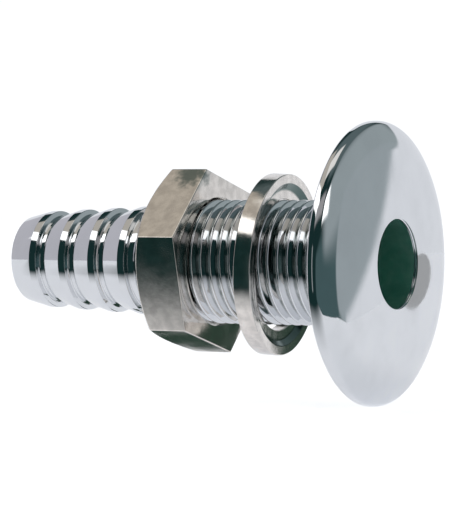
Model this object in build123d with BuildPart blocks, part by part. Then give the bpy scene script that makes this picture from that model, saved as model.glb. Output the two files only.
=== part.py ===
"""Through-hull fitting with a hose tail, in three loose pieces, modelled in millimetres.

The fitting's axis is X. The domed flange faces +X (outboard) and its flat seat lies on the
plane X = 0, the outer skin of the hull. The threaded barrel and the barbed hose tail run
inboard along -X. +Z is up. The backing washer hangs on the barrel by its own weight, and
the hexagon nut is screwed part of the way on.
"""

import os
from math import asin, ceil, cos, degrees, radians, sin, tan

from build123d import *

# Pipe thread G 1/2: 14 turns per inch, 55 degree flanks, rounded crests.
PITCH = 25.4 / 14
THREAD_R = 20.955 / 2
THREAD_DEPTH = 0.640327 * PITCH
ROOT_R = THREAD_R - THREAD_DEPTH
PITCH_R = THREAD_R - THREAD_DEPTH / 2
CREST_ROUND = 0.137329 * PITCH
FLANK = 27.5
THREAD_BITE = 0.07  # how far a ridge is sunk into the metal that carries it
TRIM_GAP = 0.01  # how far a trimming outline stands clear of the crests it leaves alone
TRIM_REACH = 2.0  # how far a trimming cone runs on past the crests, in thread heights
SPARE = 1.0  # how far a cutting outline runs past the metal it cuts

# Domed flange.
FLANGE_R = 23.5
DOME_TOP = 4.8
CROWN_R, CROWN_ROUND = 18.7, 150.0
SHOULDER_ANGLE = 35.0
RIM_ROUND = 1.5
SEAT_ROUND = 0.4

# Waterway through the whole fitting.
MOUTH_R = 7.1
TAIL_BORE_R = 6.0
MOUTH_ROUND = 0.35
BORE_STEP_START, BORE_STEP_END = -36.0, -39.0
TIP_CHAMFER = 0.4

# Threaded barrel: a relief under the flange, and a lead-in cone where the nut starts.
RELIEF_LENGTH = 2.4
RELIEF_ROUND = 0.4
RUN_OUT = 1.2
LEAD_TOP = -39.1
LEAD_FOOT = -41.0
NECK_R = 8.45

# Hose tail: four barbs, each a cone, a land and a step down to a groove.
TIP = -66.5
TIP_R = 7.3
BARB_COUNT = 4
BARB_SPACING = 6.1
FIRST_LAND = -62.0
FIRST_LAND_R = 8.39
LAND_GROWTH = 0.29
LAND_LENGTH = 1.3
CONE_LENGTH = 3.7
STEP_DEPTH = 0.85
STEP_SLOPE = 0.25
EDGE_ROUND = 0.16
TIP_ROUND = 0.6

# Backing washer, with a recess on the side that faces the hull.
WASHER_R = 15.2
WASHER_BORE_R = 11.0
WASHER_THICK = 3.0
RECESS_TOP_R, RECESS_FLOOR_R = 13.6, 12.75
RECESS_DEPTH = 0.8
WASHER_EDGE = 0.18
WASHER_FACE = -16.2
WASHER_DROP = 0.42
WASHER_LEAN_Y, WASHER_LEAN_Z = 2.6, 5.3

# Hexagon nut: flat towards the hull, chamfered at 30 degrees towards the hose.
NUT_FLATS = 28.0
NUT_THICK = 8.1
NUT_FACE = -29.1
NUT_CLOCK = 14.6
NUT_CHAMFER = 30.0
NUT_MAJOR_R = THREAD_R + 0.16
NUT_MINOR_R = ROOT_R + 0.11
NUT_FLANK_GAP = 0.06
NUT_MOUTH = 0.3


def flank_half_width(radius):
    """Half the axial width of an external thread ridge at a radius."""
    return PITCH / 4 - (radius - PITCH_R) * tan(radians(FLANK))


def helix_section(path):
    """The plane square to a helix about the X axis at its start, with its x direction radial."""
    start = path @ 0
    return Plane(origin=start, x_dir=Vector(0, start.Y, start.Z), z_dir=path % 0)


def barb_points():
    """Outline of the tail from the barrel's lead-in cone to the tip, as (x, radius) points."""
    points = [(LEAD_FOOT, NECK_R)]
    for index in reversed(range(BARB_COUNT)):
        land_start = FIRST_LAND + index * BARB_SPACING
        land_r = FIRST_LAND_R + index * LAND_GROWTH
        groove_r = NECK_R if index == BARB_COUNT - 1 else land_r - STEP_DEPTH
        foot_r = land_r - LAND_GROWTH - STEP_DEPTH
        land_end = land_start + LAND_LENGTH
        points += [(land_end + STEP_SLOPE, groove_r), (land_end, land_r), (land_start, land_r)]
        if index:
            points.append((land_start - CONE_LENGTH, foot_r))
    return points


# The body: flange, barrel and tail are one forging.
crown_turn = degrees(asin(CROWN_R / CROWN_ROUND))
shoulder_turn = SHOULDER_ANGLE - crown_turn
rim_turn = 90 - SHOULDER_ANGLE
rim_start_r = FLANGE_R - RIM_ROUND * (1 - cos(radians(rim_turn)))
shoulder_round = (rim_start_r - CROWN_R) / (sin(radians(SHOULDER_ANGLE)) - sin(radians(crown_turn)))
lead_rise = LEAD_TOP - LEAD_FOOT
lead_height = THREAD_R - NECK_R
trim_r = NECK_R + TRIM_REACH * lead_height

with BuildPart() as thread_ridge:
    ridge_start = LEAD_FOOT - PITCH / 2
    turns = ceil((-ridge_start - RELIEF_LENGTH) / PITCH)
    with BuildLine() as ridge_path:
        Helix(PITCH, turns * PITCH, PITCH_R, center=(ridge_start, 0, 0), direction=(1, 0, 0))
    tangent_height = THREAD_R - CREST_ROUND * (1 - sin(radians(FLANK))) - PITCH_R
    tangent_half = CREST_ROUND * cos(radians(FLANK))
    foot_height = ROOT_R - THREAD_BITE - PITCH_R
    foot_half = flank_half_width(ROOT_R - THREAD_BITE)
    with BuildSketch(helix_section(ridge_path.line)):
        with BuildLine():
            ThreePointArc(
                (tangent_height, -tangent_half),
                (THREAD_R - PITCH_R, 0),
                (tangent_height, tangent_half),
            )
            Polyline(
                (tangent_height, tangent_half),
                (foot_height, foot_half),
                (foot_height, -foot_half),
                (tangent_height, -tangent_half),
            )
        make_face()
    sweep(path=ridge_path.line, is_frenet=True)
    with BuildSketch():
        with BuildLine():
            Polyline(
                (LEAD_FOOT, 0),
                (LEAD_FOOT, NECK_R),
                (LEAD_FOOT + TRIM_REACH * lead_rise, trim_r),
                (-RELIEF_LENGTH - TRIM_REACH * RUN_OUT, trim_r),
                (-RELIEF_LENGTH, ROOT_R - THREAD_BITE),
                (-RELIEF_LENGTH, 0),
                close=True,
            )
        make_face()
    revolve(axis=Axis.X, mode=Mode.INTERSECT)

with BuildPart() as body:
    with BuildSketch() as body_profile:
        with BuildLine():
            crown = JernArc((DOME_TOP, 0), (0, 1), CROWN_ROUND, crown_turn)
            shoulder = JernArc(crown @ 1, crown % 1, shoulder_round, shoulder_turn)
            rim = JernArc(shoulder @ 1, shoulder % 1, RIM_ROUND, rim_turn)
            band = Line(rim @ 1, (SEAT_ROUND, FLANGE_R))
            back_edge = JernArc(band @ 1, (-1, 0), SEAT_ROUND, 90)
            core_end = LEAD_FOOT + lead_rise * (ROOT_R - NECK_R) / lead_height
            edges = [(core_end, ROOT_R)] + barb_points()
            barrel = FilletPolyline(
                back_edge @ 1,
                (0, ROOT_R),
                *edges,
                (TIP, TIP_R),
                (TIP, 0),
                radius=[RELIEF_ROUND] + [EDGE_ROUND] * len(edges) + [TIP_ROUND],
            )
            Line(barrel @ 1, crown @ 0)
        make_face()
        with BuildLine():
            Polyline(
                (DOME_TOP + SPARE, 0),
                (DOME_TOP + SPARE, MOUTH_R),
                (BORE_STEP_START, MOUTH_R),
                (BORE_STEP_END, TAIL_BORE_R),
                (TIP - SPARE, TAIL_BORE_R),
                (TIP - SPARE, 0),
                close=True,
            )
        make_face(mode=Mode.SUBTRACT)
        mouth_corner = body_profile.vertices().sort_by(Axis.X)[-1]
        fillet(mouth_corner, MOUTH_ROUND)
        tip_corner = body_profile.vertices().group_by(Axis.X)[0].sort_by(Axis.Y)[0]
        chamfer(tip_corner, TIP_CHAMFER)
    revolve(axis=Axis.X)
    add(thread_ridge.part)

# The washer is turned about its own axis, then hung on the barrel leaning a little.
washer_seat = Plane(
    origin=(WASHER_FACE, 0, -WASHER_DROP),
    x_dir=Vector(1, 0, 0).rotate(Axis.Y, WASHER_LEAN_Y).rotate(Axis.Z, WASHER_LEAN_Z),
    z_dir=Vector(0, 0, 1).rotate(Axis.Y, WASHER_LEAN_Y).rotate(Axis.Z, WASHER_LEAN_Z),
)
with BuildPart() as washer:
    with BuildSketch(washer_seat):
        with BuildLine():
            Polyline(
                (-WASHER_THICK, WASHER_BORE_R),
                (-WASHER_THICK, WASHER_R),
                (0, WASHER_R),
                (0, RECESS_TOP_R),
                (-RECESS_DEPTH, RECESS_FLOOR_R),
                (-RECESS_DEPTH, WASHER_BORE_R),
                close=True,
            )
        make_face()
    revolve(axis=Axis(washer_seat.origin, washer_seat.x_dir))
    chamfer(washer.edges().filter_by(GeomType.CIRCLE), WASHER_EDGE)

# The nut: a chamfered hexagon, bored and threaded with the same hand as the barrel.
nut_back = NUT_FACE - NUT_THICK
corner_r = NUT_FLATS / 2 / cos(radians(30))
chamfer_height = corner_r + SPARE - NUT_FLATS / 2
chamfer_run = chamfer_height * tan(radians(NUT_CHAMFER))
ridge_height = NUT_MAJOR_R - NUT_MINOR_R
ridge_inset = NUT_MOUTH + THREAD_BITE  # so that the ridge stands only where there is metal behind it

with BuildPart() as nut_ridge:
    # Half a pitch along from the barrel's ridge, so that this one lies in the barrel's groove.
    whole_turns = round((nut_back - PITCH - ridge_start) / PITCH)
    nut_ridge_start = ridge_start + whole_turns * PITCH + PITCH / 2
    with BuildLine() as nut_path:
        Helix(
            PITCH,
            NUT_THICK + 2 * PITCH,
            PITCH_R,
            center=(nut_ridge_start, 0, 0),
            direction=(1, 0, 0),
        )
    inner_half = PITCH / 2 - flank_half_width(NUT_MINOR_R) - NUT_FLANK_GAP
    outer_half = PITCH / 2 - flank_half_width(NUT_MAJOR_R + THREAD_BITE) - NUT_FLANK_GAP
    with BuildSketch(helix_section(nut_path.line)):
        with BuildLine():
            Polyline(
                (NUT_MINOR_R - PITCH_R, -inner_half),
                (NUT_MAJOR_R + THREAD_BITE - PITCH_R, -outer_half),
                (NUT_MAJOR_R + THREAD_BITE - PITCH_R, outer_half),
                (NUT_MINOR_R - PITCH_R, inner_half),
                close=True,
            )
        make_face()
    sweep(path=nut_path.line, is_frenet=True)
    with BuildSketch():
        with BuildLine():
            Polyline(
                (nut_back + ridge_inset, NUT_MAJOR_R + SPARE),
                (nut_back + ridge_inset, NUT_MAJOR_R),
                (nut_back + ridge_inset + ridge_height, NUT_MINOR_R - TRIM_GAP),
                (NUT_FACE - ridge_inset - ridge_height, NUT_MINOR_R - TRIM_GAP),
                (NUT_FACE - ridge_inset, NUT_MAJOR_R),
                (NUT_FACE - ridge_inset, NUT_MAJOR_R + SPARE),
                close=True,
            )
        make_face()
    revolve(axis=Axis.X, mode=Mode.INTERSECT)

with BuildPart() as nut:
    with BuildSketch(Plane.YZ.offset(nut_back)):
        RegularPolygon(radius=corner_r, side_count=6, rotation=90 + NUT_CLOCK)
    extrude(amount=NUT_THICK)
    with BuildSketch():
        with BuildLine():
            Polyline(
                (nut_back, 0),
                (nut_back, NUT_FLATS / 2),
                (nut_back + chamfer_run, corner_r + SPARE),
                (NUT_FACE, corner_r + SPARE),
                (NUT_FACE, 0),
                close=True,
            )
        make_face()
    revolve(axis=Axis.X, mode=Mode.INTERSECT)
    with BuildSketch(Plane.YZ.offset(nut_back)):
        Circle(NUT_MAJOR_R)
    extrude(amount=NUT_THICK, mode=Mode.SUBTRACT)
    rims = nut.edges().filter_by(GeomType.CIRCLE).group_by(SortBy.RADIUS)[0]
    chamfer(rims, NUT_MOUTH)
    add(nut_ridge.part)

os.makedirs("parts", exist_ok=True)
for name, piece in (("fitting_body", body), ("backing_washer", washer), ("hex_nut", nut)):
    piece.part.label = name
    export_step(piece.part, f"parts/{name}.step")
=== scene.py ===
"""Looks for the through-hull fitting: chromed body, nickelled washer and nut, and a pale studio.

Lengths are in millimetres, as in the part, and become metres where vertices are made.
The fitting's axis is X, its dome faces +X, and its flange's seat lies on X = 0.
"""

from math import asin, atan2, cos, hypot, pi, radians, sin, tan

import bmesh
import bpy
from mathutils import Euler, Matrix, Vector


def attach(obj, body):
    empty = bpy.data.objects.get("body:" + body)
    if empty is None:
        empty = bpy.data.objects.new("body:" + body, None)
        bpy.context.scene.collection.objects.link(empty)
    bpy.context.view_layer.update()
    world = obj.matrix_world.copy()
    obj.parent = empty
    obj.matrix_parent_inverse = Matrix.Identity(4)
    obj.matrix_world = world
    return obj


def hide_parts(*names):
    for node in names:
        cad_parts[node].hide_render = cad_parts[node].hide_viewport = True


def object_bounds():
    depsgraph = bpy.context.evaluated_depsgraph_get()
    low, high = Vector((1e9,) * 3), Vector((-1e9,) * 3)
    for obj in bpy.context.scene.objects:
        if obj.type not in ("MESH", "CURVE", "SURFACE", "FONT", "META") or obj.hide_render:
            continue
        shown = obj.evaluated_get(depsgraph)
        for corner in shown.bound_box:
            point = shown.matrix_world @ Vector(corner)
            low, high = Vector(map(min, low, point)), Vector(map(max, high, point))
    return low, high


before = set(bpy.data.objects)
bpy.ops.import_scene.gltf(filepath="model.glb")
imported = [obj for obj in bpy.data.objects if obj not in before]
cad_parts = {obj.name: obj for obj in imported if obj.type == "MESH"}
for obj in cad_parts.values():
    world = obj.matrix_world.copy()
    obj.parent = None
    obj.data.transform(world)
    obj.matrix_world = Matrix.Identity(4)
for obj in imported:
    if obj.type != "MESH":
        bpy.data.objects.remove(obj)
cad_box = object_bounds()

MM = 0.001
AROUND = 288  # steps round a turned surface
THREAD_ROWS = 26  # rows of mesh in a pitch of thread
ROUND_STEP = radians(9)  # turn between two points of a rounded corner
SMOOTH_ANGLE = radians(28)
MERGE_GAP = 1e-7  # metres

# Pipe thread G 1/2.
PITCH = 25.4 / 14
THREAD_R = 20.955 / 2
THREAD_DEPTH = 0.640327 * PITCH
ROOT_R = THREAD_R - THREAD_DEPTH
PITCH_R = THREAD_R - THREAD_DEPTH / 2
CREST_ROUND = 0.137329 * PITCH
FLANK = radians(27.5)

# Flange and waterway.
FLANGE_R = 23.5
DOME_TOP = 4.8
CROWN_R, CROWN_ROUND = 18.7, 150.0
SHOULDER_ANGLE = radians(35)
RIM_ROUND = 1.5
SEAT_ROUND = 0.4
MOUTH_R, TAIL_BORE_R = 7.1, 6.0
MOUTH_ROUND = 0.35
BORE_STEP_START, BORE_STEP_END = -36.0, -39.0

# Barrel and hose tail.
RELIEF_LENGTH, RUN_OUT = 2.4, 1.2
LEAD_TOP, LEAD_FOOT = -39.1, -41.0
FIRST_CREST = LEAD_FOOT - PITCH / 2  # a crest's place straight above the axis
NECK_R = 8.45
TIP, TIP_R, TIP_ROUND, TIP_CHAMFER = -66.5, 7.3, 0.6, 0.4
BARB_COUNT, BARB_SPACING = 4, 6.1
FIRST_LAND, FIRST_LAND_R = -62.0, 8.39
LAND_GROWTH, LAND_LENGTH = 0.29, 1.3
CONE_LENGTH = 3.7
STEP_DEPTH, STEP_SLOPE = 0.85, 0.25
EDGE_ROUND = 0.16

# Washer.
WASHER_R, WASHER_BORE_R, WASHER_THICK = 15.2, 11.0, 3.0
RECESS_TOP_R, RECESS_FLOOR_R, RECESS_DEPTH = 13.6, 12.75, 0.8
WASHER_EDGE = 0.18
WASHER_FACE, WASHER_DROP = -16.2, 0.42
WASHER_LEAN = (0.0, radians(2.6), radians(5.3))

# Nut.
NUT_FLATS, NUT_THICK, NUT_FACE = 28.0, 8.1, -29.1
NUT_FLAT_R = NUT_FLATS / 2
NUT_BACK = NUT_FACE - NUT_THICK
NUT_CLOCK = radians(14.6)
NUT_CHAMFER = radians(30)
NUT_MAJOR_ROOM, NUT_MINOR_ROOM = 0.16, 0.11
NUT_MAJOR_R, NUT_MINOR_R = THREAD_R + NUT_MAJOR_ROOM, ROOT_R + NUT_MINOR_ROOM
NUT_BORE_CHAMFER = 0.3
NUT_FLANK_GAP = 0.06
NUT_CORNER_ROUND, NUT_EDGE_ROUND = 0.3, 0.22
NUT_EDGE_MIDDLE = 0.3 * NUT_EDGE_ROUND  # how far inside the sharp edge the middle of its round lies
NUT_BACK_RING = 0.4  # how far inside the flats the back face has a ring, which keeps it flat
HALF_SIDE = radians(30)  # half of a side, seen from the axis
SIDE_MARGIN = radians(1)  # from a corner to where its side's own points start
CORNER_STEPS, SIDE_STEPS = 8, 24


def rounded(corners, radii):
    """Outline through the corners, each corner replaced by an arc of its radius (0 keeps it)."""
    outline = []
    last = len(corners) - 1
    for index, corner in enumerate(corners):
        radius = radii[index]
        if index in (0, last) or radius == 0:
            outline.append(corner)
            continue
        here = Vector(corner)
        back = (Vector(corners[index - 1]) - here).normalized()
        ahead = (Vector(corners[index + 1]) - here).normalized()
        half = back.angle(ahead) / 2
        centre = here + (back + ahead).normalized() * radius / sin(half)
        start = here + back * radius / tan(half) - centre
        turn = start.angle_signed(here + ahead * radius / tan(half) - centre)
        count = max(2, round(abs(turn) / ROUND_STEP))
        for i in range(count + 1):
            point = Matrix.Rotation(-turn * i / count, 2) @ start + centre
            outline.append((point.x, point.y))
    return outline


def beside(centre, distance, angle):
    """The (x, radius) point at a distance from another, at an angle from +X towards the rim."""
    return (centre[0] + distance * cos(angle), centre[1] + distance * sin(angle))


def arc(centre, radius, start, end, steps):
    """Points of an arc between two angles from +X towards the rim."""
    return [beside(centre, radius, start + (end - start) * i / steps) for i in range(steps + 1)]


def flange_outline():
    """From the waterway's mouth over the dome and the rim to the seat, as (x, radius)."""
    crown_turn = asin(CROWN_R / CROWN_ROUND)
    rim_start = FLANGE_R - RIM_ROUND * (1 - cos(pi / 2 - SHOULDER_ANGLE))
    shoulder = (rim_start - CROWN_R) / (sin(SHOULDER_ANGLE) - sin(crown_turn))
    crown_centre = (DOME_TOP - CROWN_ROUND, 0)
    crown_end = beside(crown_centre, CROWN_ROUND, crown_turn)
    shoulder_centre = beside(crown_end, -shoulder, crown_turn)
    shoulder_end = beside(shoulder_centre, shoulder, SHOULDER_ANGLE)
    rim_centre = beside(shoulder_end, -RIM_ROUND, SHOULDER_ANGLE)
    mouth_turn = asin((MOUTH_R + MOUTH_ROUND) / CROWN_ROUND)
    mouth_top = crown_centre[0] + CROWN_ROUND * cos(mouth_turn)
    mouth_centre = (mouth_top - MOUTH_ROUND, MOUTH_R + MOUTH_ROUND)
    seat_centre = (SEAT_ROUND, FLANGE_R - SEAT_ROUND)
    outline = arc(mouth_centre, MOUTH_ROUND, pi, mouth_turn, steps=8)
    outline += arc(crown_centre, CROWN_ROUND, mouth_turn, crown_turn, steps=24)[1:]
    outline += arc(shoulder_centre, shoulder, crown_turn, SHOULDER_ANGLE, steps=24)[1:]
    outline += arc(rim_centre, RIM_ROUND, SHOULDER_ANGLE, pi / 2, steps=12)[1:]
    outline += arc(seat_centre, SEAT_ROUND, pi / 2, pi, steps=6)
    return outline


def tail_outline():
    """From the barrel's lead-in cone over the barbs to the end face of the tip."""
    corners = [(LEAD_FOOT, NECK_R)]
    for index in reversed(range(BARB_COUNT)):
        land_start = FIRST_LAND + index * BARB_SPACING
        land_r = FIRST_LAND_R + index * LAND_GROWTH
        groove_r = NECK_R if index == BARB_COUNT - 1 else land_r - STEP_DEPTH
        land_end = land_start + LAND_LENGTH
        corners += [(land_end + STEP_SLOPE, groove_r), (land_end, land_r), (land_start, land_r)]
        if index:
            corners.append((land_start - CONE_LENGTH, land_r - LAND_GROWTH - STEP_DEPTH))
    radii = [0] + [EDGE_ROUND] * (len(corners) - 1) + [TIP_ROUND, 0]
    corners += [(TIP, TIP_R), (TIP, TAIL_BORE_R + TIP_CHAMFER)]
    return rounded(corners, radii)


def waterway_outline():
    """From the tip's inner chamfer through the narrow and the wide bore to the mouth."""
    return [
        (TIP, TAIL_BORE_R + TIP_CHAMFER),
        (TIP + TIP_CHAMFER, TAIL_BORE_R),
        (BORE_STEP_END, TAIL_BORE_R),
        (BORE_STEP_START, MOUTH_R),
        flange_outline()[0],
    ]


def from_crest(x, phase):
    """Distance along the axis to the nearest crest, where the helix has moved on by a phase."""
    return abs((x - FIRST_CREST - phase + PITCH / 2) % PITCH - PITCH / 2)


def thread_radius(x, phase):
    """Radius of the full thread form, rounded at crest and root."""
    away = from_crest(x, phase)
    crest_edge = CREST_ROUND * cos(FLANK)
    if away < crest_edge:
        return THREAD_R - CREST_ROUND + (CREST_ROUND**2 - away**2) ** 0.5
    from_root = PITCH / 2 - away
    if from_root < crest_edge:
        return ROOT_R + CREST_ROUND - (CREST_ROUND**2 - from_root**2) ** 0.5
    return PITCH_R - (away - PITCH / 4) / tan(FLANK)


def barrel_radius(x, phase):
    """The barrel's thread, cut down by the lead-in cone and the run-out at the relief."""
    lead = NECK_R + (x - LEAD_FOOT) * (THREAD_R - NECK_R) / (LEAD_TOP - LEAD_FOOT)
    run_out = ROOT_R + (-RELIEF_LENGTH - x) * (THREAD_R - NECK_R) / (2 * RUN_OUT)
    return min(thread_radius(x, phase), lead, max(run_out, ROOT_R))


def nut_thread_radius(x, phase):
    """The nut's thread: the barrel's flanks with a little room, opened out at both ends."""
    flank = PITCH_R - (from_crest(x, phase) - PITCH / 4 - NUT_FLANK_GAP) / tan(FLANK)
    form = min(max(flank, NUT_MINOR_R), NUT_MAJOR_R)
    from_end = min(x - NUT_BACK, NUT_FACE - x)
    return max(form, NUT_MAJOR_R + NUT_BORE_CHAMFER - from_end)


def keep_flat(mesh):
    """Lets broad faces outweigh the small rounds beside them, so that they shade flat."""
    normals = [Vector() for _ in mesh.vertices]
    for face in mesh.polygons:
        for index in face.vertices:
            normals[index] += face.normal * face.area
    mesh.normals_split_custom_set_from_vertices([normal.normalized() for normal in normals])


def mesh_object(name, vertices, faces, material, flat_faces=False):
    """A smooth-shaded mesh from vertices in millimetres, sharp where faces meet past an angle."""
    mesh = bpy.data.meshes.new(name)
    mesh.from_pydata([Vector(v) * MM for v in vertices], [], faces)
    mesh.validate()
    work = bmesh.new()
    work.from_mesh(mesh)
    bmesh.ops.remove_doubles(work, verts=work.verts, dist=MERGE_GAP)
    bmesh.ops.dissolve_degenerate(work, edges=work.edges, dist=MERGE_GAP)
    bmesh.ops.recalc_face_normals(work, faces=work.faces)
    work.to_mesh(mesh)
    work.free()
    mesh.shade_smooth()
    mesh.set_sharp_from_angle(angle=SMOOTH_ANGLE)
    mesh.materials.append(material)
    if flat_faces:
        keep_flat(mesh)
    obj = bpy.data.objects.new(name, mesh)
    bpy.context.collection.objects.link(obj)
    return obj


def around(x, radius, angle):
    """The point at a place along the axis, a radius and an angle from +Z, right-handed about +X."""
    return (x, -radius * sin(angle), radius * cos(angle))


def turned(outline, vertices, faces, closed=False):
    """Adds the surface swept by an (x, radius) outline turned about the axis."""
    start = len(vertices)
    for x, radius in outline:
        for i in range(AROUND):
            vertices.append(around(x, radius, 2 * pi * i / AROUND))
    rows = len(outline)
    for j in range(rows if closed else rows - 1):
        low, high = start + j * AROUND, start + (j + 1) % rows * AROUND
        for i in range(AROUND):
            k = (i + 1) % AROUND
            faces.append((low + i, low + k, high + k, high + i))


def helical(radius_at, x_start, x_end, vertices, faces):
    """Adds a threaded surface whose rows follow the helix, cut off square at its two ends."""
    start = len(vertices)
    step = PITCH / THREAD_ROWS
    rows = round((x_end - x_start) / step) + THREAD_ROWS + 2
    for j in range(rows):
        for i in range(AROUND):
            x = x_start - PITCH + step * j + PITCH * i / AROUND
            x = min(max(x, x_start), x_end)
            vertices.append(around(x, radius_at(x, PITCH * i / AROUND), 2 * pi * i / AROUND))
    for j in range(rows - 1):
        low, high = start + j * AROUND, start + (j + 1) * AROUND
        for i in range(AROUND - 1):
            faces.append((low + i, low + i + 1, high + i + 1, high + i))
        if j + 1 + THREAD_ROWS < rows:
            last, first = AROUND - 1, THREAD_ROWS * AROUND
            faces.append((low + last, low + first, high + first, high + last))


def fitting_body(material):
    """The outside of the forging: dome, relief, threaded barrel and barbed tail."""
    vertices, faces = [], []
    turned(flange_outline() + [(0, ROOT_R), (-RELIEF_LENGTH, ROOT_R)], vertices, faces)
    helical(barrel_radius, LEAD_FOOT, -RELIEF_LENGTH, vertices, faces)
    turned(tail_outline(), vertices, faces)
    return mesh_object("fitting_body_surface", vertices, faces, material)


def waterway(material):
    """The bored passage, as the drill left it."""
    vertices, faces = [], []
    turned(waterway_outline(), vertices, faces)
    return mesh_object("waterway_surface", vertices, faces, material)


def washer_lean():
    """How the washer leans and where the middle of its front face is, in millimetres."""
    return Euler(WASHER_LEAN, "XYZ").to_matrix(), Vector((WASHER_FACE, 0, -WASHER_DROP))


def washer(material):
    """The recessed ring, hung on the thread as it leans."""
    corners = [
        (-WASHER_THICK, WASHER_R),
        (0, WASHER_R),
        (0, RECESS_TOP_R),
        (-RECESS_DEPTH, RECESS_FLOOR_R),
        (-RECESS_DEPTH, WASHER_BORE_R),
        (-WASHER_THICK, WASHER_BORE_R),
    ]
    middle = (-WASHER_THICK, (WASHER_R + WASHER_BORE_R) / 2)
    outline = rounded([middle, *corners, middle], [0] + [WASHER_EDGE] * len(corners) + [0])
    vertices, faces = [], []
    turned(outline[:-1], vertices, faces, closed=True)
    lean, seat = washer_lean()
    return mesh_object("washer_ring", [lean @ Vector(v) + seat for v in vertices], faces, material)


def hexagon_outline():
    """The nut's outline across its axis, as (radius, angle) pairs, with softened corners."""
    centre = (NUT_FLAT_R - NUT_CORNER_ROUND) / cos(HALF_SIDE)
    points = []
    for side in range(6):
        corner = NUT_CLOCK + side * 2 * HALF_SIDE
        for i in range(CORNER_STEPS + 1):
            swing = -HALF_SIDE + 2 * HALF_SIDE * i / CORNER_STEPS
            outward = centre + NUT_CORNER_ROUND * cos(swing)
            sideways = NUT_CORNER_ROUND * sin(swing)
            points.append((hypot(outward, sideways), corner + atan2(sideways, outward)))
        for i in range(1, SIDE_STEPS):
            swing = SIDE_MARGIN + 2 * (HALF_SIDE - SIDE_MARGIN) * i / SIDE_STEPS
            points.append((NUT_FLAT_R / cos(swing - HALF_SIDE), corner + swing))
    return points


def cone_end(radius):
    """Where the nut's back chamfer reaches a radius."""
    return NUT_BACK + (radius - NUT_FLAT_R) * tan(NUT_CHAMFER)


def cone_edge(radius):
    """The end of the back chamfer beside the outline; on the flats it has no length."""
    if radius > NUT_FLAT_R + NUT_EDGE_ROUND:
        return cone_end(radius - NUT_EDGE_ROUND), radius - NUT_EDGE_ROUND
    return NUT_BACK, NUT_FLAT_R - NUT_EDGE_ROUND


def hex_nut(material):
    """The lock nut: softened hexagon, conical chamfer at the back, flat face, threaded bore."""
    outline = hexagon_outline()
    mouth = NUT_MAJOR_R + NUT_BORE_CHAMFER
    # Each row of vertices as (x, radius), from the outline's own radius.
    rows = [
        lambda r: (NUT_BACK, mouth),
        lambda r: (NUT_BACK, NUT_FLAT_R - NUT_BACK_RING),
        lambda r: (NUT_BACK, NUT_FLAT_R - NUT_EDGE_ROUND),
        cone_edge,
        lambda r: (cone_end(r) + NUT_EDGE_MIDDLE, r - NUT_EDGE_MIDDLE),
        lambda r: (cone_end(r) + NUT_EDGE_ROUND, r),
        lambda r: (NUT_FACE - NUT_EDGE_ROUND, r),
        lambda r: (NUT_FACE - NUT_EDGE_MIDDLE, r - NUT_EDGE_MIDDLE),
        lambda r: (NUT_FACE, r - NUT_EDGE_ROUND),
        lambda r: (NUT_FACE, (r + 2 * mouth) / 3),
        lambda r: (NUT_FACE, mouth),
    ]
    vertices, faces = [], []
    for row in rows:
        vertices += [around(*row(radius), angle) for radius, angle in outline]
    count = len(outline)
    for j in range(len(rows) - 1):
        low, high = j * count, (j + 1) * count
        for i in range(count):
            k = (i + 1) % count
            faces.append((low + i, low + k, high + k, high + i))
    helical(nut_thread_radius, NUT_BACK, NUT_FACE, vertices, faces)
    return mesh_object("hex_nut_surface", vertices, faces, material, flat_faces=True)


# The mix node's sockets when it mixes colours.
MIX_FACTOR, MIX_A, MIX_B, MIX_RESULT = 0, 6, 7, 2


class Graph:
    """Adds nodes to a tree and links them, so that a material reads as a list of steps."""

    def __init__(self, tree):
        self.tree = tree

    def node(self, kind, inputs=(), output=0, **settings):
        made = self.tree.nodes.new(kind)
        for key, value in settings.items():
            setattr(made, key, value)
        for socket, value in dict(inputs).items():
            if isinstance(value, bpy.types.NodeSocket):
                self.link(value, made, socket)
            else:
                made.inputs[socket].default_value = value
        return made.outputs[output]

    def link(self, value, node, socket):
        self.tree.links.new(value, node.inputs[socket])

    def math(self, operation, *values):
        return self.node("ShaderNodeMath", enumerate(values), operation=operation)

    def vector(self, operation, *vectors, output="Vector"):
        return self.node("ShaderNodeVectorMath", enumerate(vectors), output, operation=operation)

    def dot(self, vector, other):
        return self.vector("DOT_PRODUCT", vector, other, output="Value")

    def split(self, vector):
        """The X, Y and Z of a vector."""
        return self.node("ShaderNodeSeparateXYZ", {0: vector}).node.outputs[:]

    def ramp(self, value, low, high, low_result=0.0, high_result=1.0):
        """Goes smoothly from one result to the other as the value goes from low to high."""
        inputs = {"Value": value, "From Min": low, "From Max": high}
        inputs.update({"To Min": low_result, "To Max": high_result})
        return self.node("ShaderNodeMapRange", inputs, interpolation_type="SMOOTHSTEP")

    def mix(self, factor, color_a, color_b):
        colors = {MIX_FACTOR: factor, MIX_A: color_a, MIX_B: color_b}
        return self.node("ShaderNodeMix", colors, MIX_RESULT, data_type="RGBA")


# The noise values between which a surface goes from one look to the other: as a rule, and for the
# roughness and the tint of the chrome's haze.
MOTTLED, HAZED, TINTED = (0.3, 0.7), (0.35, 0.75), (0.3, 0.8)

# Chrome, and the darkening in its thread's roots: roughness, depth of the marks, and where the darkening
# fades.
CHROME_CLEAR, CHROME_HAZY = (0.77, 0.785, 0.80, 1), (0.72, 0.735, 0.75, 1)
CHROME_ROUGHNESS = (0.03, 0.085)
PEEL_DEPTH, SCRATCH_DEPTH = 0.004, 0.0006
ROOT_DARK = (0.16, 0.19, 0.18, 1)
ROOT_DARK_STRENGTH = (0.55, 1)
ROOT_DARK_END, ROOT_DARK_BELOW, ROOT_DARK_ABOVE = 1.0, 0.05, 0.45

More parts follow.
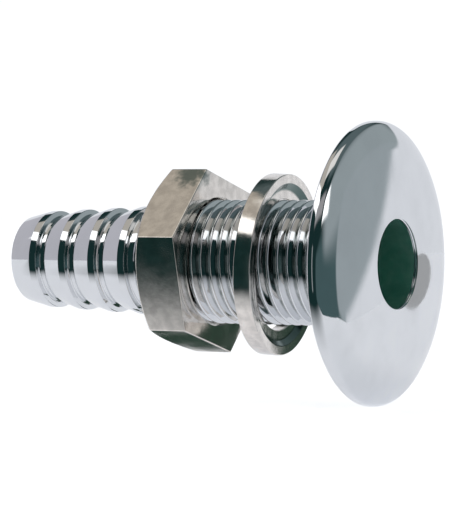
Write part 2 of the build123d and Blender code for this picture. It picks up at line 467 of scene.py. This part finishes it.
# The bored wall: greenish towards the mouth, bare in the tail.
BORED_ROUGHNESS = 0.42
GREEN_DARK, GREEN_LIGHT = (0.34, 0.70, 0.60, 1), (0.52, 0.82, 0.72, 1)
BARE_DARK, BARE_LIGHT = (0.50, 0.53, 0.50, 1), (0.62, 0.63, 0.60, 1)
GREEN_START = 12
DRILL_DEPTH = 0.03

# Nickel, its lighter and darker spots as shares of its colour, and the colour of its painted dark patches:
# painted shade in the washer's recess, a painted dark reflection on the nut.
WASHER_NICKEL, NUT_NICKEL = (0.78, 0.745, 0.70), (0.76, 0.72, 0.67)
LIGHTER, DARKER = 1.07, 0.84
NICKEL_ROUGHNESS = (0.08, 0.17)
MOTTLE_DEPTH, MARK_DEPTH = 0.012, 0.002
PAINTED_DARK = (0.10, 0.15, 0.14)
# Painted shade in the washer's recess: how far it reaches inside the floor's edge, outside the recess's top
# edge, and past the floor's depth.
RECESS_SHADE_IN, RECESS_SHADE_OUT, RECESS_SHADE_BELOW = 0.5, 0.15, 0.4
# A painted dark reflection near one corner of the nut: centre and radius in millimetres, the fully dark
# share of the radius, how far its edge wanders in millimetres, and its strength.
DARK_REFLECTION_PLACE = (-31.5, -5.5, 15.5)
DARK_REFLECTION_R, DARK_REFLECTION_CORE, DARK_REFLECTION_RAGGED, DARK_REFLECTION_STRENGTH = 4.2, 0.35, 1.6, 0.85


def metal(name):
    """A material with its graph, its metallic shader and the place on the object, in metres."""
    material = bpy.data.materials.new(name)
    material.use_nodes = True
    graph = Graph(material.node_tree)
    shader = material.node_tree.nodes["Principled BSDF"]
    shader.inputs["Metallic"].default_value = 1
    place = graph.node("ShaderNodeTexCoord", output="Object")
    return material, graph, shader, place


def noise(graph, place, feature, detail=2.0, stretch=(1, 1, 1)):
    """Noise with features of a size in millimetres, drawn out along some axes."""
    scaled = graph.vector("MULTIPLY", place, stretch)
    inputs = {"Vector": scaled, "Scale": 1 / (feature * MM), "Detail": detail}
    return graph.node("ShaderNodeTexNoise", inputs)


def bumped(graph, shader, layers):
    """Bumps the shader by (height, depth in millimetres) layers."""
    normal = None
    for height, depth in layers:
        inputs = {"Height": height, "Distance": depth * MM}
        if normal is not None:
            inputs["Normal"] = normal
        normal = graph.node("ShaderNodeBump", inputs)
    graph.link(normal, shader, "Normal")


def thread_root_darkening(graph, place):
    """1 in the roots of the barrel's thread, patchy, and 0 on its crests and elsewhere."""
    along = graph.split(place)[0]
    on_thread = graph.math(
        "MULTIPLY",
        graph.ramp(along, LEAD_FOOT * MM, (LEAD_FOOT + ROOT_DARK_END) * MM),
        graph.ramp(along, -RELIEF_LENGTH * MM, (-RELIEF_LENGTH + ROOT_DARK_END) * MM, 1, 0),
    )
    radius = graph.vector("LENGTH", graph.vector("MULTIPLY", place, (0, 1, 1)), output="Value")
    depth = graph.ramp(radius, (ROOT_R - ROOT_DARK_BELOW) * MM, (ROOT_R + ROOT_DARK_ABOVE) * MM, 1, 0)
    patchy = graph.ramp(noise(graph, place, feature=1.2, detail=3), *MOTTLED, *ROOT_DARK_STRENGTH)
    return graph.math("MULTIPLY", graph.math("MULTIPLY", on_thread, depth), patchy)


def chrome_plate():
    """Bright chrome: faint orange peel, buffing haze, fine scratches, and darker roots in the thread."""
    material, graph, shader, place = metal("chrome_plate")
    haze = noise(graph, place, feature=6, detail=4)
    scratches = noise(graph, place, feature=0.25, detail=3, stretch=(0.08, 1, 1))
    peel = noise(graph, place, feature=3.5)
    plate = graph.mix(graph.ramp(haze, *TINTED), CHROME_CLEAR, CHROME_HAZY)
    # Darker in the roots of the thread, patchy.
    graph.link(graph.mix(thread_root_darkening(graph, place), plate, ROOT_DARK), shader, "Base Color")
    graph.link(graph.ramp(haze, *HAZED, *CHROME_ROUGHNESS), shader, "Roughness")
    bumped(graph, shader, ((peel, PEEL_DEPTH), (scratches, SCRATCH_DEPTH)))
    return material


def bored_metal():
    """The waterway's wall: dull, greenish towards its mouth, with the marks of the drill."""
    material, graph, shader, place = metal("bored_metal")
    shader.inputs["Roughness"].default_value = BORED_ROUGHNESS
    rings = noise(graph, place, feature=0.5, detail=3, stretch=(1, 0.05, 0.05))
    stain = graph.ramp(noise(graph, place, feature=3, detail=4), *MOTTLED)
    green = graph.mix(stain, GREEN_DARK, GREEN_LIGHT)
    bare = graph.mix(stain, BARE_DARK, BARE_LIGHT)
    along = graph.split(place)[0]
    towards_mouth = graph.ramp(along, BORE_STEP_END * MM, (BORE_STEP_START + GREEN_START) * MM)
    graph.link(graph.mix(towards_mouth, bare, green), shader, "Base Color")
    bumped(graph, shader, ((rings, DRILL_DEPTH),))
    return material


def washer_recess_shade(graph, place):
    """Painted shade in the corner of the washer's recess, round its own leaning axis."""
    lean, seat = washer_lean()
    offset = graph.vector("SUBTRACT", place, seat * MM)
    along = graph.dot(offset, lean @ Vector((1, 0, 0)))
    reach = graph.vector("LENGTH", offset, output="Value")
    square = graph.math("SUBTRACT", graph.math("POWER", reach, 2.0), graph.math("POWER", along, 2.0))
    radius = graph.math("SQRT", graph.math("MAXIMUM", square, 0.0))
    inside = graph.ramp(radius, (RECESS_FLOOR_R - RECESS_SHADE_IN) * MM, RECESS_FLOOR_R * MM)
    outside = graph.ramp(radius, RECESS_TOP_R * MM, (RECESS_TOP_R + RECESS_SHADE_OUT) * MM, 1, 0)
    front = graph.ramp(along, -(RECESS_DEPTH + RECESS_SHADE_BELOW) * MM, -RECESS_DEPTH * MM)
    return graph.math("MULTIPLY", graph.math("MULTIPLY", inside, outside), front)


def nut_dark_reflection(graph, place):
    """A painted dark reflection near one corner of the nut."""
    reach = graph.vector("DISTANCE", place, Vector(DARK_REFLECTION_PLACE) * MM, output="Value")
    wander = noise(graph, place, feature=1.1, detail=4)
    ragged = graph.math("ADD", reach, graph.ramp(wander, 0, 1, -DARK_REFLECTION_RAGGED * MM, DARK_REFLECTION_RAGGED * MM))
    return graph.ramp(ragged, DARK_REFLECTION_R * DARK_REFLECTION_CORE * MM, DARK_REFLECTION_R * MM, DARK_REFLECTION_STRENGTH, 0)


def nickel_plate(name, color, stretch, painted_dark):
    """Duller, warmer plating over a machined surface, mottled, and darkened by a painted patch: painted
    shade on the washer, a painted dark reflection on the nut.
    """
    material, graph, shader, place = metal(name)
    mottle = noise(graph, place, feature=1.6, detail=5)
    cloud = noise(graph, place, feature=5, detail=2)
    marks = noise(graph, place, feature=0.3, detail=3, stretch=stretch)
    light = tuple(min(1, c * LIGHTER) for c in color)
    shade = tuple(c * DARKER for c in color)
    tone = graph.mix(graph.ramp(mottle, *MOTTLED), (*light, 1), (*shade, 1))
    # Paints the dark patch over the mottle: painted shade on the washer, a painted dark reflection on the
    # nut.
    darkened = graph.mix(painted_dark(graph, place), tone, (*PAINTED_DARK, 1))
    graph.link(darkened, shader, "Base Color")
    graph.link(graph.ramp(cloud, *MOTTLED, *NICKEL_ROUGHNESS), shader, "Roughness")
    bumped(graph, shader, ((mottle, MOTTLE_DEPTH), (marks, MARK_DEPTH)))
    return material


def place_piece(obj, body, slot, *nodes):
    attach(obj, body)
    if nodes:
        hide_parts(*nodes)


place_piece(fitting_body(chrome_plate()), "fitting", "chrome_body", "fitting_body")
place_piece(waterway(bored_metal()), "fitting", "chrome_body", "fitting_body")
# The washer's nickel, with painted shade in the corner of its recess.
washer_metal = nickel_plate("washer_nickel", WASHER_NICKEL, (0.1, 1, 1), washer_recess_shade)
place_piece(washer(washer_metal), "washer", "nickel_washer", "backing_washer")
# The nut's nickel, with a painted dark reflection near one corner.
nut_metal = nickel_plate("nut_nickel", NUT_NICKEL, (1, 1, 0.1), nut_dark_reflection)
place_piece(hex_nut(nut_metal), "nut", "nickel_nut", "hex_nut")

# Camera, almost level with the fitting and on its dome's side. Its azimuth runs from +X towards +Y, its
# distance and target are in metres, its lens and sensor in millimetres.
CAMERA_AZIMUTH, CAMERA_ELEVATION = -60.48, 1.55
CAMERA_DISTANCE = 0.5200
CAMERA_TARGET = (-0.02803, 0.00015, -0.00059)
CAMERA_LENS, CAMERA_SENSOR = 208.9, 36

DARK = (0.010, 0.030, 0.030)

# The studio, as cards far away: azimuth from +X towards +Y, elevation, half width, half height, roll,
# edge softness (all degrees), colour and strength. Later cards lie in front of earlier ones.
CARDS = {
    "overhead": (62, 68, 34, 28, 0, 16, (0.70, 0.95, 1.0), 0.15),
    "left_wall": (167.5, -9, 49, 50, 0, 1.5, (0.93, 0.92, 1.0), 0.58),
    "left_ceiling": (-156, 62, 22, 11, 0, 2, (1.0, 0.93, 0.83), 0.52),
    "lens": (2, -14, 52, 24, 0, 12, (0.55, 0.95, 1.0), 0.12),
    "rim_light": (-96, -3, 5, 17, 0, 3, (0.90, 0.97, 1.0), 0.36),
    "grey_wall": (40, 22, 38, 18, 0, 13, (0.84, 0.96, 1.0), 0.40),
    "grey_wall_low": (52, 2, 17, 12, 0, 5, (0.84, 0.95, 1.0), 0.42),
    "paper": (85.5, -12.5, 62, 28.5, -43, 1.8, (0.93, 0.95, 1.0), 0.86),
    "ceiling": (-60, 86, 20, 12, 0, 5, (1.0, 0.97, 0.93), 0.9),
    "strip_left": (-126, 46, 31, 8, 0, 3, (1.0, 1.0, 1.0), 2.0),
    "strip_right": (-62, 42, 32, 9, 0, 8, (1.0, 0.98, 1.0), 0.36),
    "key": (-1, 25, 8, 7, 0, 4, (1.0, 1.0, 1.0), 2.0),
}
CARD_FRONT = 0.02  # a card shows only to rays that run this much towards it

# Floor and backdrop, in metres, which only the camera sees.
FLOOR_GAP = 0.0005
FLOOR_Z = cad_box[0][2] - FLOOR_GAP
ROOM = 2.5
PAPER_TINT = (0.97, 0.98, 1)
FLOOR_GLOW, FLOOR_DIFFUSE = 0.8, 0.8
BACKDROP_GLOW = 1.05
CIRCLE_STEPS = 48

# The pale table round the fitting as it shows in reflections, its corners in millimetres. Its right edge
# is close, so the room beyond it reflects dark. Its front fades out between two lines beside the fitting.
TABLE_CORNERS = (
    (-1500, -1100),
    (-110, -62),
    (22, -62),
    (66, 18),
    (115, 170),
    (600, 1600),
    (-1500, 1600),
)
TABLE_TINT = (0.92, 0.93, 1)
TABLE_GLOW, TABLE_DIFFUSE = 0.56, 0.8
FADE_FRONT, FADE_BACK = -54, -20
FADE_SLANT_X, FADE_SLANT = -105, 0.65

# A grey disc behind the fitting, which the dome reflects beside its mouth: centre, the direction its
# width runs in, half width, half height and how far it is turned.
DISC_CENTRE = (57.6, 149.2, -10.6)
DISC_SIDE = (0.943, -0.334, 0)
DISC_HALF_WIDTH, DISC_HALF_HEIGHT = 15.5, 8.8
DISC_TURN = -20
DISC_GLOW = 0.42

# Small dark sheets behind the fitting, out of the camera's sight: painted shadow of the fitting on the
# table, which its underside reflects.
SHADOW_SHEET_TINT = (0.40, 0.80, 0.60)
SHADOW_SHEET_GLOW = 0.07
SHADOW_SHEETS = (
    ((-24, 17, -18), (-10, 17, -18), (-10, 17, -8), (-24, 17, -8)),
    ((-56, 7, -23.6), (-37, 7, -23.6), (-37, 19, -23.6), (-56, 19, -23.6)),
)


def direction(azimuth, elevation):
    """The unit vector at an azimuth from +X towards +Y and an elevation, in degrees."""
    turn, rise = radians(azimuth), radians(elevation)
    return Vector((cos(turn) * cos(rise), sin(turn) * cos(rise), sin(rise)))


def add_camera():
    """A long lens that looks at the middle of the fitting."""
    data = bpy.data.cameras.new("camera")
    data.lens = CAMERA_LENS
    data.sensor_width = CAMERA_SENSOR
    camera = bpy.data.objects.new("camera", data)
    back = direction(CAMERA_AZIMUTH, CAMERA_ELEVATION)
    camera.location = Vector(CAMERA_TARGET) + back * CAMERA_DISTANCE
    camera.rotation_euler = back.to_track_quat("Z", "Y").to_euler()
    bpy.context.collection.objects.link(camera)
    bpy.context.scene.camera = camera


def card_mask(graph, ray, azimuth, elevation, half_width, half_height, roll, soft):
    """1 where a ray meets a rectangular card far away, with soft edges."""
    forward = direction(azimuth, elevation)
    side = forward.cross(Vector((0, 0, 1))).normalized()
    top = side.cross(forward)
    turn = radians(roll)
    across = side * cos(turn) + top * sin(turn)
    upward = top * cos(turn) - side * sin(turn)
    ahead = graph.dot(ray, forward)
    mask = graph.ramp(ahead, 0, CARD_FRONT)
    safe = graph.math("MAXIMUM", ahead, CARD_FRONT)
    for axis, half in ((across, half_width), (upward, half_height)):
        offset = graph.math("ABSOLUTE", graph.math("DIVIDE", graph.dot(ray, axis), safe))
        inner, outer = tan(radians(half - soft / 2)), tan(radians(half + soft / 2))
        mask = graph.math("MULTIPLY", mask, graph.ramp(offset, inner, outer, 1, 0))
    return mask


def studio_world():
    """A dark room with walls, paper and lamps, seen only as light and in reflections."""
    world = bpy.data.worlds.new("studio")
    world.use_nodes = True
    graph = Graph(world.node_tree)
    ray = graph.node("ShaderNodeTexCoord", output="Generated")
    color = (*DARK, 1)
    for *shape, tint, strength in CARDS.values():
        light = tuple(c * strength for c in tint)
        color = graph.mix(card_mask(graph, ray, *shape), color, (*light, 1))
    graph.link(color, world.node_tree.nodes["Background"], "Color")
    return world


def stage_mesh(name, vertices, faces, glow, diffuse, in_view, tint=PAPER_TINT):
    """Part of the studio, either in the camera's view or in reflections, never both."""
    mesh = bpy.data.meshes.new(name)
    mesh.from_pydata(vertices, [], faces)
    material = bpy.data.materials.new(name)
    material.use_nodes = True
    shader = material.node_tree.nodes["Principled BSDF"]
    shader.inputs["Base Color"].default_value = (diffuse, diffuse, diffuse, 1)
    shader.inputs["Roughness"].default_value = 1
    shader.inputs["Specular IOR Level"].default_value = 0
    shader.inputs["Emission Color"].default_value = (*tint, 1)
    shader.inputs["Emission Strength"].default_value = glow
    mesh.materials.append(material)
    obj = bpy.data.objects.new(name, mesh)
    obj.visible_camera = in_view
    obj.visible_glossy = not in_view
    obj.visible_diffuse = False
    obj.visible_shadow = False
    bpy.context.collection.objects.link(obj)
    return obj


def fade_front(table):
    """Darkens the table towards its front, so that it has no edge there."""
    material = table.data.materials[0]
    graph = Graph(material.node_tree)
    shader = material.node_tree.nodes["Principled BSDF"]
    x, y = graph.split(graph.node("ShaderNodeTexCoord", output="Object"))[:2]
    beyond = graph.math("MAXIMUM", graph.math("SUBTRACT", FADE_SLANT_X * MM, x), 0.0)
    depth = graph.math("ADD", y, graph.math("MULTIPLY", beyond, FADE_SLANT))
    light = graph.ramp(depth, FADE_FRONT * MM, FADE_BACK * MM)
    room = tuple(c / TABLE_GLOW for c in DARK)
    graph.link(graph.mix(light, (*room, 1), (*TABLE_TINT, 1)), shader, "Emission Color")
    pale = (TABLE_DIFFUSE, TABLE_DIFFUSE, TABLE_DIFFUSE, 1)
    graph.link(graph.mix(light, (0, 0, 0, 1), pale), shader, "Base Color")


def circle():
    """The cosine and sine of each step round a circle."""
    angles = [2 * pi * i / CIRCLE_STEPS for i in range(CIRCLE_STEPS)]
    return [(cos(angle), sin(angle)) for angle in angles]


def disc_rim():
    """Points round the disc's edge, in metres."""
    side, up = Vector(DISC_SIDE), Vector((0, 0, 1))
    turn = radians(DISC_TURN)
    rim = []
    for cosine, sine in circle():
        wide, high = DISC_HALF_WIDTH * cosine, DISC_HALF_HEIGHT * sine
        across = wide * cos(turn) - high * sin(turn)
        upward = wide * sin(turn) + high * cos(turn)
        rim.append((Vector(DISC_CENTRE) + side * across + up * upward) * MM)
    return rim


def add_stage():
    """The floor and backdrop in view, and the table, disc and sheets of painted shadow that only reflect.
    """
    floor = [(-ROOM, -ROOM, FLOOR_Z), (ROOM, -ROOM, FLOOR_Z), (ROOM, ROOM, FLOOR_Z), (-ROOM, ROOM, FLOOR_Z)]
    stage_mesh("floor", floor, [(0, 1, 2, 3)], FLOOR_GLOW, FLOOR_DIFFUSE, True)
    corners = [(x * MM, y * MM, FLOOR_Z) for x, y in TABLE_CORNERS]
    table_face = tuple(range(len(corners)))
    table = stage_mesh("table", corners, [table_face], TABLE_GLOW, TABLE_DIFFUSE, False)
    fade_front(table)
    stage_mesh("disc", disc_rim(), [tuple(range(CIRCLE_STEPS))], DISC_GLOW, 0, False)
    # Dark sheets of painted shadow behind the fitting, seen only in reflections.
    shadow_sheet_corners = [Vector(corner) * MM for sheet in SHADOW_SHEETS for corner in sheet]
    stage_mesh("painted_shadow_sheets", shadow_sheet_corners, [(0, 1, 2, 3), (4, 5, 6, 7)], SHADOW_SHEET_GLOW, 0, False, SHADOW_SHEET_TINT)
    wall = [(ROOM * cosine, ROOM * sine, z) for z in (-ROOM, ROOM) for cosine, sine in circle()]
    faces = []
    for i in range(CIRCLE_STEPS):
        k = (i + 1) % CIRCLE_STEPS
        faces.append((i, k, CIRCLE_STEPS + k, CIRCLE_STEPS + i))
    faces.append(tuple(range(CIRCLE_STEPS, 2 * CIRCLE_STEPS)))
    stage_mesh("backdrop", wall, faces, BACKDROP_GLOW, 0, True)


add_camera()
bpy.context.scene.world = studio_world()
bpy.context.scene.view_settings.view_transform = "Standard"
add_stage()
